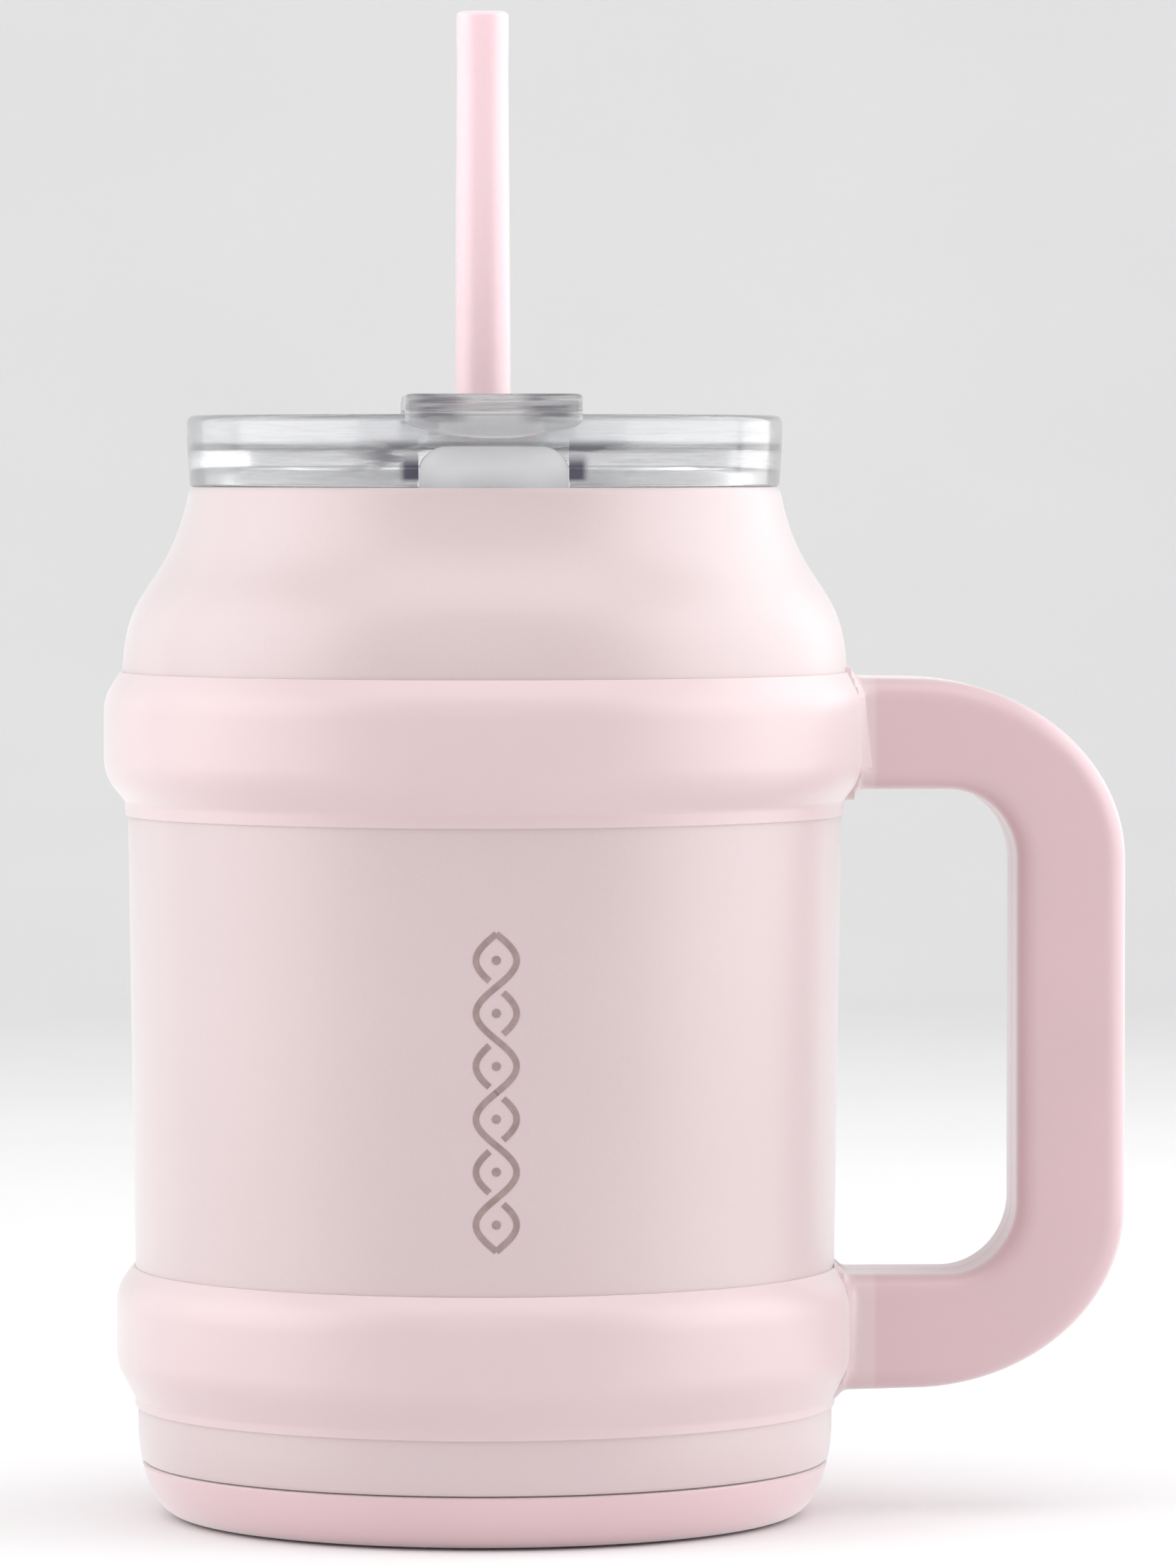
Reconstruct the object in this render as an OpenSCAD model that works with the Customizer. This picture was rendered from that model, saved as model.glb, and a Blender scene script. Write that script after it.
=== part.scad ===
// Insulated tumbler mug: a vacuum-walled steel vessel with two moulded bands and a D handle,
// a clear press-in lid with a flip-up sip tab, and a straight drinking straw.
// Origin: centre of the base, on the vessel's axis. +Z is up, the sip side is -Y, the handle is at +X.

/* [Vessel] */
// Height of the drinking rim above the table
vessel_h = 173; // [171:0.5:175]
// Outside radius of the neck at the rim
neck_r = 49.6; // [49.4:0.1:50]
// Outside radius at the foot of the shoulder
shoulder_r = 60.9; // [60.5:0.1:61.2]
// Height of the foot of the shoulder
shoulder_z = 142; // [141:0.5:143]
// Outside radius of the body just under the upper band
body_top_r = 60; // [59.8:0.1:60.2]
// Outside radius of the body just above the base cup
body_foot_r = 58.5; // [58.3:0.1:58.8]
// Thickness of each steel wall
steel_t = 0.6; // [0.5:0.1:0.8]
// Distance from the outer wall's outside to the inner wall's inside
wall_depth = 4; // [3.5:0.5:4.5]
// Inside radius of the mouth
mouth_r = 46.2; // [46.1:0.1:46.4]
// Height of the inside floor
floor_z = 14; // [13:0.5:16]

/* [Base cup] */
// Height of the seam between the base cup and the steel shell
cup_h = 9.2; // [8.5:0.1:10]
// Radius of the flat underside
cup_flat_r = 51.5; // [51:0.1:52]
// Height of the base cup's underside above the table
cup_gap = 0.4; // [0.3:0.1:0.6]
// Radius of the anti-slip pad
foot_r = 48; // [46:0.5:49]

/* [Bands] */
// Outside radius of the upper band
band_up_r = 64.05; // [63.5:0.05:64.5]
// Lowest point of the upper band
band_up_lo = 118; // [117:0.5:119]
// Highest point of the upper band
band_up_hi = 142; // [141.5:0.5:142.5]
// Outside radius of the lower band
band_low_r = 62.1; // [61.5:0.1:62.5]
// Lowest point of the lower band
band_low_lo = 18.6; // [18:0.2:19]
// Highest point of the lower band
band_low_hi = 42; // [41:0.5:42.5]

/* [Handle] */
// Thickness of the handle, in the plane of its loop
handle_t = 18.6; // [17:0.2:19]
// Width of the handle, across its loop
handle_w = 24; // [22:0.5:26]
// Distance from the vessel's axis to the outside of the grip
handle_reach = 107.4; // [104:0.2:112]
// Height of the middle of the upper arm
arm_up_z = 131.7; // [131:0.1:132.4]
// Height of the middle of the lower arm
arm_low_z = 31.3; // [30.6:0.1:32]
// Radius of the loop's corners along the middle of the handle
handle_bend = 21.2; // [18:0.2:24]
// Wall thickness of the hollow handle
handle_wall = 2.4; // [2:0.1:3]
// Radius of the handle's long edges
handle_edge = 4; // [2.5:0.5:5]

/* [Lid] */
// Outside radius of the lid's rim
lid_r = 50; // [49.8:0.1:50.4]
// Height of the rim above the neck
lid_h = 11.7; // [11:0.1:13]
// Wall thickness of the rim
rim_t = 2.8; // [2.4:0.1:3.2]
// Height of the sunken deck above the neck
deck_up = 6; // [5.5:0.1:6.4]
// Thickness of the deck
deck_t = 2.5; // [2:0.1:3]
// Outside radius of the skirt that presses into the neck
skirt_r = 44.3; // [44:0.1:44.6]
// Depth of the skirt below the neck's rim
skirt_drop = 13; // [11:0.5:15]

/* [Sip tab] */
// Width of the flip-up tab
tab_w = 28.9; // [27:0.1:31]
// Thickness of the tab's plate
tab_t = 3; // [2.6:0.1:3.4]
// How far the tab's front lip hangs below the top of the plate
tab_lip = 7.3; // [6:0.1:8]
// Distance of the hinge from the vessel's axis
hinge_y = 15; // [14:0.5:17]
// Radius of the hinge pin
pin_r = 1.5; // [1.3:0.1:1.7]
// Distance of the sip opening's middle from the vessel's axis
sip_y = 35; // [34:0.5:36]
// Width of the sip opening
sip_w = 18; // [15:0.5:19]
// Depth of the sip opening, front to back
sip_d = 7; // [6.5:0.1:7.4]

/* [Straw] */
// Outside radius of the straw below the lid
straw_r = 4.75; // [4.4:0.05:4.85]
// Outside radius of the straw at the mouth end
straw_mouth_r = 4.36; // [4.2:0.02:4.4]
// Wall thickness of the straw
straw_t = 1; // [0.8:0.1:1.2]
// Height of the top of the straw
straw_top = 253.3; // [245:0.1:258]
// Distance of the straw behind the vessel's axis
straw_y = 10; // [9:0.5:12]

/* [Hidden] */
$fn = 96;

snug = 0.05;        // gap between parts that are fixed to each other
free = 0.3;         // gap between parts that move apart
past = 1;           // how far a cutter runs past the face it cuts
arc_steps = 8;      // segments in a rounded corner
curve_steps = 18;   // segments in the shoulder and in the base's curve

// Shoulder: a cubic curve from the rim, pulled straight down, to the top of the body
neck_pull = [3.4, -18];
shoulder_pull = [-0.4, 16];
body_top_z = 117;
body_foot_z = 16;

// Shell below the seam, where the base cup grips it
seat_r = 55.3;
seat_gap = 0.3;
seat_bend = 3;
seat_z = 2.5;
disc_r = 44;        // hole in each wall's bottom, which a welded disc closes
base_dome_r = 30;
base_dome_up = 1.6;
getter_r = 6;
getter_h = 2;
bead_hole_r = 1.2;
bead_r = 2.4;
bead_h = 0.9;

foil_gap = 0.1;
foil_t = 0.15;
foil_lo = 24;
foil_hi = 160;
floor_bend = 9;

foot_depth = 1;

band_edge = 0.45;
band_round = 8;
band_up_low_flank = 6.2;
band_up_high_flank = 4.3;
band_low_low_flank = 7.2;
band_low_high_flank = 3.6;

// Lugs that stand on the bands inside the hollow handle, with a pin through each
lug_x = 62.5;
lug_low_x = 60.8;
lug_end = 75;
lug_h = 11;
lug_w = 9;
lug_pin_x = 70;
lug_pin_r = 2;
lug_boss_r = 4.2;
lug_pin_half = 9.4;

grip_x = handle_reach - handle_t / 2;
arm_start = 55;

lid_z = vessel_h + free;
lid_top = lid_z + lid_h;
deck_top = lid_z + deck_up;
deck_low = deck_top - deck_t;
skirt_t = 2;
skirt_low = vessel_h - skirt_drop;
rim_taper = 0.5;       // the rim draws in this much towards its foot
rim_taper_up = 7;
rim_round = 1.1;
groove_d = 1;
groove_lo = skirt_low + 4.5;
groove_h = 5;

// Arched recess in the rim's front, below the tab
notch_w = 24.4;
notch_up = 6.4;
notch_round = 4;
notch_floor_r = 47.9;

tab_z = lid_top + free;
tab_top = tab_z + tab_t;
tab_round = 1.4;
tab_back = hinge_y + 4;
lip_t = 1.5;
lip_rise = 2.4;        // the lip's lower edge rises this much from its middle to its sides
lip_steps = 12;
hinge_z = deck_top + 4.7;
knuckle_r = 3;
knuckle_half = 10;
ear_gap = 0.4;
ear_t = 4;
pin_clear = 0.05;
press = 0.02;
vent_r = 1;
vent_y = 32;

grommet_neck_r = 7;
grommet_lip_r = 9;
grommet_lip_t = 2;
grommet_foot_r = 8.2;
grommet_foot_t = 1.5;

straw_low = floor_z + 0.6;
straw_tip = 0.45;
straw_taper_z = 196;   // the straw narrows from here
straw_slim_z = 243;    // and is slimmest here
straw_bead = 0.06;     // swelling at the mouth end
straw_bead_drop = 4.5;

// ---- Curves ----

function unit(v) = v / norm(v);

// Points of the arc that rounds corner q, between its neighbours p and s
function corner(p, q, s, r) =
    let (u = unit(p - q), v = unit(s - q), half = acos(u * v) / 2,
         centre = q + unit(u + v) * r / sin(half),
         a = q + u * r / tan(half) - centre,
         b = q + v * r / tan(half) - centre,
         from = atan2(a.y, a.x),
         turn = atan2(a.x * b.y - a.y * b.x, a * b))
    [for (i = [0:arc_steps])
        centre + r * [cos(from + turn * i / arc_steps), sin(from + turn * i / arc_steps)]];

function flat(p) = [p.x, p.y];

// An outline with corners given as [x, y] or, where they are rounded, [x, y, radius]
function rounded(pts) =
    let (n = len(pts))
    [for (i = [0:n - 1])
        let (q = pts[i])
        each len(q) < 3 ? [q]
            : corner(flat(pts[(i + n - 1) % n]), flat(q), flat(pts[(i + 1) % n]), q.z)];

function backwards(pts) = [for (i = [len(pts) - 1:-1:0]) pts[i]];
function shifted(pts, by) = [for (p = pts) p + by];

function bezier(a, b, c, d, t) =
    pow(1 - t, 3) * a + 3 * pow(1 - t, 2) * t * b + 3 * (1 - t) * t * t * c + pow(t, 3) * d;

function shoulder(t) =
    let (top = [neck_r, vessel_h], foot = [shoulder_r, shoulder_z])
    bezier(top, top + neck_pull, foot + shoulder_pull, foot, t);

// Radius of the base's elliptical curve at height z
function base_curve(z) =
    let (drop = (body_foot_z - z) / (body_foot_z - cup_gap))
    cup_flat_r + (body_foot_r - cup_flat_r) * sqrt(max(0, 1 - drop * drop));

// Radius of the body's straight sides at height z
function side_r(z) =
    z > body_top_z
        ? body_top_r + (shoulder_r - body_top_r) * (z - body_top_z) / (shoulder_z - body_top_z)
        : body_foot_r + (body_top_r - body_foot_r) * (z - body_foot_z) / (body_top_z - body_foot_z);

shoulder_line = [for (i = [0:curve_steps]) shoulder(i / curve_steps)];
side_line = [[body_top_r, body_top_z], [body_foot_r, body_foot_z]];
seam_z = cup_h + seat_gap;

// ---- Vessel ----

// The shell's outside from the rim to the seam, moved in by inset
function shell_line(inset) =
    concat(shifted(concat(shoulder_line, side_line), [-inset, 0]),
           [for (i = [1:3])
               let (z = body_foot_z + (seam_z - body_foot_z) * i / 3) [base_curve(z) - inset, z]]);

module outer_shell() {
    in_z = seat_z + steel_t;
    in_r = seat_r - steel_t;
    outside = concat(shell_line(0), [[seat_r, seam_z]],
                     corner([seat_r, seam_z], [seat_r, seat_z], [0, seat_z], seat_bend),
                     [[disc_r, seat_z]]);
    inside = concat([for (p = shell_line(steel_t)) if (p.y > seam_z + steel_t) p],
                    [[base_curve(seam_z) - steel_t, seam_z + steel_t], [in_r, seam_z + steel_t]],
                    corner([in_r, seam_z], [in_r, in_z], [0, in_z], seat_bend - steel_t),
                    [[disc_r, in_z]]);
    color([0.91, 0.83, 0.84]) rotate_extrude() polygon(concat(outside, backwards(inside)));
}

// The inner wall's line from under the rim to the edge of its floor disc
function vessel_line(inset, floor_at, bend) =
    let (side = side_r(floor_at) - inset, top = body_top_r - inset)
    concat([for (p = shoulder_line) if (p.x - wall_depth > mouth_r) p - [inset, 0]],
           [[top, body_top_z]],
           corner([top, body_top_z], [side, floor_at], [0, floor_at], bend),
           [[disc_r, floor_at]]);

module inner_vessel() {
    under = vessel_h - steel_t;
    roll_r = neck_r - steel_t - snug;
    outside = vessel_line(wall_depth - steel_t, floor_z - steel_t, floor_bend + steel_t);
    inside = vessel_line(wall_depth, floor_z, floor_bend);
    color([0.72, 0.73, 0.75])
        rotate_extrude()
            polygon(concat([[mouth_r, vessel_h], [roll_r, vessel_h], [roll_r, under],
                            [mouth_r + steel_t, under]], outside, backwards(inside)));
}

module inner_floor() {
    color([0.72, 0.73, 0.75])
        translate([0, 0, floor_z - steel_t]) cylinder(r = disc_r - snug, h = steel_t);
}

// Wrapped round the inner wall, inside the vacuum
module reflective_foil() {
    gap = wall_depth - steel_t - foil_gap;
    line = concat([for (p = shoulder_line) if (p.y < foil_hi) p],
                  [side_line[0], [side_r(foil_lo), foil_lo]]);
    color([0.86, 0.62, 0.45])
        rotate_extrude()
            polygon(concat(shifted(line, [-gap, 0]), backwards(shifted(line, [foil_t - gap, 0]))));
}

// Domed disc welded into the shell's bottom, with the hole the air is drawn out through
module outer_base_cap() {
    edge = disc_r - snug;
    top = seat_z + steel_t;
    slope = base_dome_r + base_dome_up;
    color([0.7, 0.71, 0.73])
        rotate_extrude()
            polygon([[bead_hole_r, seat_z + base_dome_up], [base_dome_r, seat_z + base_dome_up],
                     [slope, seat_z], [edge, seat_z], [edge, top], [slope, top],
                     [base_dome_r, top + base_dome_up], [bead_hole_r, top + base_dome_up]]);
}

module vacuum_getter() {
    place_r = (base_dome_r + getter_r) / 2;
    color([0.5, 0.5, 0.52])
        translate([-place_r, 0, seat_z + steel_t + base_dome_up])
            cylinder(r = getter_r, h = getter_h);
}

module vacuum_seal_bead() {
    dome_low = seat_z + base_dome_up;
    color([0.35, 0.36, 0.38])
        rotate_extrude()
            polygon([[0, dome_low - bead_h], [bead_r / 2, dome_low - bead_h], [bead_r, dome_low],
                     [bead_hole_r, dome_low], [bead_hole_r, dome_low + steel_t],
                     [0, dome_low + steel_t]]);
}

// ---- Base ----

module base_cup() {
    hold_r = seat_r + snug;
    floor_top = seat_z - snug;
    curve = [for (i = [0:curve_steps])
        let (z = cup_gap + (cup_h - cup_gap) * pow(i / curve_steps, 2)) [base_curve(z), z]];
    color([0.88, 0.74, 0.76])
        rotate_extrude()
            polygon(concat(
                [[0, foot_depth + snug], [foot_r + snug, foot_depth + snug],
                 [foot_r + snug, cup_gap]],
                curve, [[hold_r, cup_h]],
                corner([hold_r, cup_h], [hold_r, floor_top], [0, floor_top], seat_bend + snug),
                [[0, floor_top]]));
}

module foot_pad() {
    color([0.8, 0.68, 0.7]) cylinder(r = foot_r, h = foot_depth);
}

// ---- Bands ----

// Outline of a band in radius and height; grow moves its outside out
function band_line(r, lo, hi, low_flank, high_flank, grow) =
    rounded([[side_r(lo) + band_edge + grow, lo], [r + grow, lo + low_flank, band_round],
             [r + grow, hi - high_flank, band_round], [side_r(hi) + band_edge + grow, hi]]);

function upper_line(grow) =
    band_line(band_up_r, band_up_lo, band_up_hi, band_up_low_flank, band_up_high_flank, grow);

function lower_line(grow) =
    band_line(band_low_r, band_low_lo, band_low_hi, band_low_low_flank, band_low_high_flank, grow);

module band(line, lo, hi, lug_from, lug_z) {
    back = [[side_r(hi) + snug, hi], [side_r(lo) + snug, lo]];
    difference() {
        union() {
            rotate_extrude() polygon(concat(line, back));
            translate([lug_from, -lug_w / 2, lug_z - lug_h / 2])
                cube([lug_end - lug_from, lug_w, lug_h]);
        }
        translate([lug_pin_x, 0, lug_z]) rotate([90, 0, 0])
            cylinder(r = lug_pin_r, h = lug_w + 2 * past, center = true);
    }
}

module upper_band() {
    color([0.93, 0.82, 0.84]) band(upper_line(0), band_up_lo, band_up_hi, lug_x, arm_up_z);
}

module lower_band() {
    color([0.93, 0.82, 0.84]) band(lower_line(0), band_low_lo, band_low_hi, lug_low_x, arm_low_z);
}

// ---- Handle ----

// Section of one half: a channel from the parting plane to the handle's side
function channel() =
    let (half = handle_t / 2, w = handle_w / 2, in = half - handle_wall, deep = w - handle_wall)
    rounded([[-half, 0], [-half, w, handle_edge], [half, w, handle_edge], [half, 0],
             [in, 0], [in, deep, handle_edge - handle_wall],
             [-in, deep, handle_edge - handle_wall], [-in, 0]]);

// One half's sweep round the loop, lying on its parting plane
module loop_sweep() {
    bend_x = grip_x - handle_bend;
    up = arm_up_z - handle_bend;
    low = arm_low_z + handle_bend;
    for (z = [arm_up_z, arm_low_z])
        translate([arm_start, z, 0]) rotate([90, 0, 90])
            linear_extrude(bend_x - arm_start) polygon(channel());
    translate([grip_x, up, 0]) rotate([90, 0, 0]) linear_extrude(up - low) polygon(channel());
    translate([bend_x, up, 0])
        rotate_extrude(angle = 90) translate([handle_bend, 0]) polygon(channel());
    translate([bend_x, low, 0]) rotate([0, 0, -90])
        rotate_extrude(angle = 90) translate([handle_bend, 0]) polygon(channel());
}

// The vessel and a band as one solid, which the handle's ends are cut to
module band_seat(line, lo, hi) {
    rotate_extrude()
        polygon(concat([[0, lo - past], [side_r(lo), lo - past]], line,
                       [[side_r(hi), hi + past], [0, hi + past]]));
}

module handle_half() {
    floor_y = handle_w / 2 - handle_wall;
    difference() {
        union() {
            rotate([90, 0, 0]) loop_sweep();
            for (z = [arm_up_z, arm_low_z])
                translate([lug_pin_x, -lug_w / 2 - snug, z]) rotate([90, 0, 0])
                    cylinder(r = lug_boss_r, h = floor_y - lug_w / 2);
        }
        band_seat(upper_line(snug), band_up_lo, band_up_hi);
        band_seat(lower_line(snug), band_low_lo, band_low_hi);
        for (z = [arm_up_z, arm_low_z])
            translate([lug_pin_x, 0, z]) rotate([90, 0, 0])
                cylinder(r = lug_pin_r, h = lug_pin_half + snug);
    }
}

module handle_front_half() {
    color([0.86, 0.73, 0.76]) handle_half();
}

module handle_back_half() {
    color([0.86, 0.73, 0.76]) mirror([0, 1, 0]) handle_half();
}

// Two pins that lock the halves to the bands' lugs
module handle_pins() {
    color([0.75, 0.76, 0.78])
        for (z = [arm_up_z, arm_low_z])
            translate([lug_pin_x, 0, z]) rotate([90, 0, 0])
                cylinder(r = lug_pin_r, h = 2 * lug_pin_half, center = true);
}

// ---- Lid ----

// Arch cut into the front of the rim, down to an inner radius
module rim_notch() {
    difference() {
        translate([0, -notch_floor_r / 2, 0]) rotate([90, 0, 0])
            linear_extrude(notch_floor_r)
                polygon(rounded([[-notch_w / 2, lid_z - past], [notch_w / 2, lid_z - past],
                                 [notch_w / 2, lid_z + notch_up, notch_round],
                                 [-notch_w / 2, lid_z + notch_up, notch_round]]));
        cylinder(r = notch_floor_r, h = lid_top + past);
    }
}

// Rounded slot, middle at the sip opening
module sip_slot(w, d, z, h) {
    translate([0, -sip_y, z]) linear_extrude(h)
        polygon(rounded([[-w / 2, -d / 2, d * 0.49], [w / 2, -d / 2, d * 0.49],
                         [w / 2, d / 2, d * 0.49], [-w / 2, d / 2, d * 0.49]]));
}

module hinge_ear(side) {
    mid = side * (knuckle_half + ear_gap + ear_t / 2);
    foot = knuckle_r * 0.93;
    translate([mid, -hinge_y, hinge_z]) rotate([0, 90, 0])
        cylinder(r = knuckle_r, h = ear_t, center = true);
    translate([mid - ear_t / 2, -hinge_y - foot, deck_top - deck_t / 2])
        cube([ear_t, 2 * foot, hinge_z - deck_top + deck_t / 2]);
}

module lid_body() {
    rim_in = lid_r - rim_t;
    skirt_in = skirt_r - skirt_t;
    color([0.85, 0.87, 0.9, 0.45])
        difference() {
            union() {
                rotate_extrude()
                    polygon(rounded([
                        [skirt_in, skirt_low], [skirt_r, skirt_low, 0.8],
                        [skirt_r, groove_lo], [skirt_r - groove_d, groove_lo],
                        [skirt_r - groove_d, groove_lo + groove_h], [skirt_r, groove_lo + groove_h],
                        [skirt_r, lid_z], [lid_r - rim_taper, lid_z, 0.4],
                        [lid_r, lid_z + rim_taper_up],
                        [lid_r, lid_top, rim_round], [rim_in, lid_top, rim_round / 2],
                        [rim_in, deck_top, rim_round], [0, deck_top], [0, deck_low],
                        [skirt_in, deck_low, rim_round]]));
                hinge_ear(-1);
                hinge_ear(1);
            }
            rim_notch();
            sip_slot(sip_w, sip_d, deck_low - past, deck_t + 2 * past);
            translate([0, straw_y, deck_low - past])
                cylinder(r = grommet_neck_r + snug, h = deck_t + 2 * past);
            translate([0, vent_y, deck_low - past]) cylinder(r = vent_r, h = deck_t + 2 * past);
            translate([0, -hinge_y, hinge_z]) rotate([0, 90, 0])
                cylinder(r = pin_r + press, h = tab_w + 2 * past, center = true);
        }
}

// Ring with two wiping lips that seal against the neck
module lid_gasket() {
    back_r = skirt_r - groove_d + snug;
    body_r = skirt_r + 0.5;
    wipe_r = mouth_r - free;
    low = groove_lo + snug;
    color([0.9, 0.9, 0.91])
        rotate_extrude()
            polygon([[back_r, low], [body_r, low], [wipe_r, low + 0.9], [wipe_r, low + 1.4],
                     [body_r, low + 1.9], [body_r, low + 2.9], [wipe_r, low + 3.8],
                     [wipe_r, low + 4.3], [body_r, low + groove_h - 2 * snug],
                     [back_r, low + groove_h - 2 * snug]]);
}

module straw_grommet() {
    hole_r = straw_r + free;
    color([0.93, 0.9, 0.91])
        translate([0, straw_y, 0]) rotate_extrude()
            polygon(rounded([
                [hole_r, deck_low - grommet_foot_t - snug],
                [grommet_neck_r, deck_low - grommet_foot_t - snug],
                [grommet_foot_r, deck_low - snug], [grommet_neck_r, deck_low - snug],
                [grommet_neck_r, deck_top + snug], [grommet_lip_r, deck_top + snug],
                [grommet_lip_r, deck_top + snug + grommet_lip_t, 0.8],
                [hole_r, deck_top + snug + grommet_lip_t, 0.4]]));
}

module hinge_pin() {
    color([0.85, 0.87, 0.9, 0.45])
        translate([0, -hinge_y, hinge_z]) rotate([0, 90, 0])
            cylinder(r = pin_r, h = 2 * (knuckle_half + ear_gap + ear_t) - 1, center = true);
}

// ---- Sip tab ----

// Front outline of the tab, with the lip's lower edge curved like a shallow bowl
function tab_front(low) =
    rounded(concat(
        [for (i = [0:lip_steps])
            let (u = 2 * i / lip_steps - 1) [u * tab_w / 2, low + lip_rise * u * u]],
        [[tab_w / 2, tab_top, tab_round], [-tab_w / 2, tab_top, tab_round]]));

module sip_flap() {
    outer_r = lid_r + free + lip_t;
    lip_low = tab_top - tab_lip;
    arm_top = hinge_z + knuckle_r * 0.9;
    color([0.85, 0.87, 0.9, 0.45])
        difference() {
            union() {
                intersection() {
                    translate([0, -tab_back, 0]) rotate([90, 0, 0])
                        linear_extrude(outer_r - tab_back) polygon(tab_front(lip_low));
                    rotate_extrude()
                        polygon(rounded([[0, tab_z], [outer_r - lip_t, tab_z],
                                         [outer_r - lip_t, lip_low], [outer_r, lip_low, 0.5],
                                         [outer_r, tab_top, tab_round], [0, tab_top]]));
                }
                translate([-knuckle_half, -tab_back - 1, tab_z - 1])
                    cube([2 * knuckle_half, tab_back - hinge_y + 1, arm_top - tab_z + 1]);
                translate([0, -hinge_y, hinge_z]) rotate([0, 90, 0])
                    cylinder(r = knuckle_r, h = 2 * knuckle_half, center = true);
            }
            translate([0, -hinge_y, hinge_z]) rotate([0, 90, 0])
                cylinder(r = pin_r + pin_clear, h = tab_w, center = true);
        }
}

// Soft stopper under the tab: a flange on the deck and a nose in the opening
module sip_plug() {
    flange_z = deck_top + free;
    color([0.82, 0.84, 0.86]) {
        sip_slot(sip_w + 3, sip_d + 3, flange_z, 1.8);
        translate([0, 0.7 - free, 0]) sip_slot(sip_w - 1.2, sip_d - 2, flange_z - 2, 2.5);
        sip_slot(sip_w - 3, sip_d - 1, flange_z + 1, tab_z - flange_z - 1);
    }
}

// ---- Straw ----

module straw() {
    mouth_in = straw_mouth_r - straw_t;
    bead_r = straw_mouth_r + straw_bead;
    bead_z = straw_top - straw_bead_drop;
    color([0.93, 0.82, 0.84])
        translate([0, straw_y, 0]) rotate_extrude()
            polygon(rounded([
                [straw_r - straw_t, straw_low, straw_tip], [straw_r, straw_low, straw_tip],
                [straw_r, straw_taper_z], [straw_mouth_r, straw_slim_z], [bead_r, bead_z],
                [bead_r, straw_top, straw_tip], [mouth_in, straw_top, straw_tip],
                [mouth_in, straw_slim_z], [straw_r - straw_t, straw_taper_z]]));
}

outer_shell();
inner_vessel();
inner_floor();
reflective_foil();
outer_base_cap();
vacuum_getter();
vacuum_seal_bead();
base_cup();
foot_pad();
upper_band();
lower_band();
handle_front_half();
handle_back_half();
handle_pins();
lid_body();
lid_gasket();
straw_grommet();
hinge_pin();
sip_flap();
sip_plug();
straw();
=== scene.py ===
"""Looks of the insulated tumbler mug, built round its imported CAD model.

Lengths in this file are millimetres, turned into metres by mm() and by the mesh makers.
Front is -Y, the handle is at +X, the mug stands on z = 0.
"""
import bmesh
import bpy
import math
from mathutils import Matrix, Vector


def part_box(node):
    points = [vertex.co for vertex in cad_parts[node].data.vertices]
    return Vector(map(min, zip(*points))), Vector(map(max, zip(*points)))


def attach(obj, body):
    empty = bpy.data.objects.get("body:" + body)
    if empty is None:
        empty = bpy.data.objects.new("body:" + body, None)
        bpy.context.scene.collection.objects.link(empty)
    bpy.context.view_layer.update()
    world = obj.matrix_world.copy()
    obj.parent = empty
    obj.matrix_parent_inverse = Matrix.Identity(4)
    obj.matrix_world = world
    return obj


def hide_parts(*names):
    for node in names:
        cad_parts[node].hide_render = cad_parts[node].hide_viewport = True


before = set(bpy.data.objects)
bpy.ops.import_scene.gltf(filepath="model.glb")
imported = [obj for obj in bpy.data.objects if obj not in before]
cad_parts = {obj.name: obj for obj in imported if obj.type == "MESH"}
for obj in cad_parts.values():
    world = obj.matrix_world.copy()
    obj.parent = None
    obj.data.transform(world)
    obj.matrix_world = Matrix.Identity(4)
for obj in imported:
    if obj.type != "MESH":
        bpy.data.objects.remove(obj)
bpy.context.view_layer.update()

# ---------------------------------------------------------------- sizes, in millimetres
MM = 0.001
TURN = 256                      # segments round a turned part
ARC = 10                        # segments in a rounded corner
CRISP = 28                      # degrees: moulded edges that bend more than this stay sharp


def mm(*values):
    """A point given in millimetres, in metres."""
    return Vector(values) * MM


def node_box(name):
    """A CAD node's lowest and highest corner, in millimetres."""
    low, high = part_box(name)
    return low / MM, high / MM


shell_low, shell_high = node_box("outer_shell")
floor_low, floor_high = node_box("inner_floor")
upper_low, upper_high = node_box("upper_band")
lower_low, lower_high = node_box("lower_band")
handle_low, handle_high = node_box("handle_front_half")
lid_low, lid_high = node_box("lid_body")
tab_low, tab_high = node_box("sip_flap")
plug_low, plug_high = node_box("sip_plug")
straw_low, straw_high = node_box("straw")
gasket_low, gasket_high = node_box("lid_gasket")
grommet_low, grommet_high = node_box("straw_grommet")
cup_low, cup_high = node_box("base_cup")
pad_high = node_box("foot_pad")[1]
pin_low, pin_high = node_box("hinge_pin")

STEEL = 0.6                     # each steel wall
SNUG = 0.05                     # gap between parts that are fixed to each other
RIM_Z = shell_high.z            # the drinking rim
NECK_R = 49.6                   # the shell at the rim
SHOULDER = (shell_high.y, 142.0)    # radius and height of the shoulder's foot
BODY_TOP = (60.0, 117.0)        # ends of the long, nearly straight side
BODY_FOOT = (58.5, 16.0)
NECK_PULL, SHOULDER_PULL = (3.4, -18), (-0.4, 16)   # how the shoulder's curve leaves its ends
CUP_FLAT_R = 51.5               # where the base's curve meets the flat underside
SEAM_Z = shell_low.z + 7.0      # foot of the visible part of the shell
SEAT_R, SEAT_BEND = 55.3, 3.0   # the shell's seat, inside the base cup
DISC_R = floor_high.y + SNUG    # hole in each wall's bottom, closed by a welded disc


# ---------------------------------------------------------------- outlines

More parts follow.
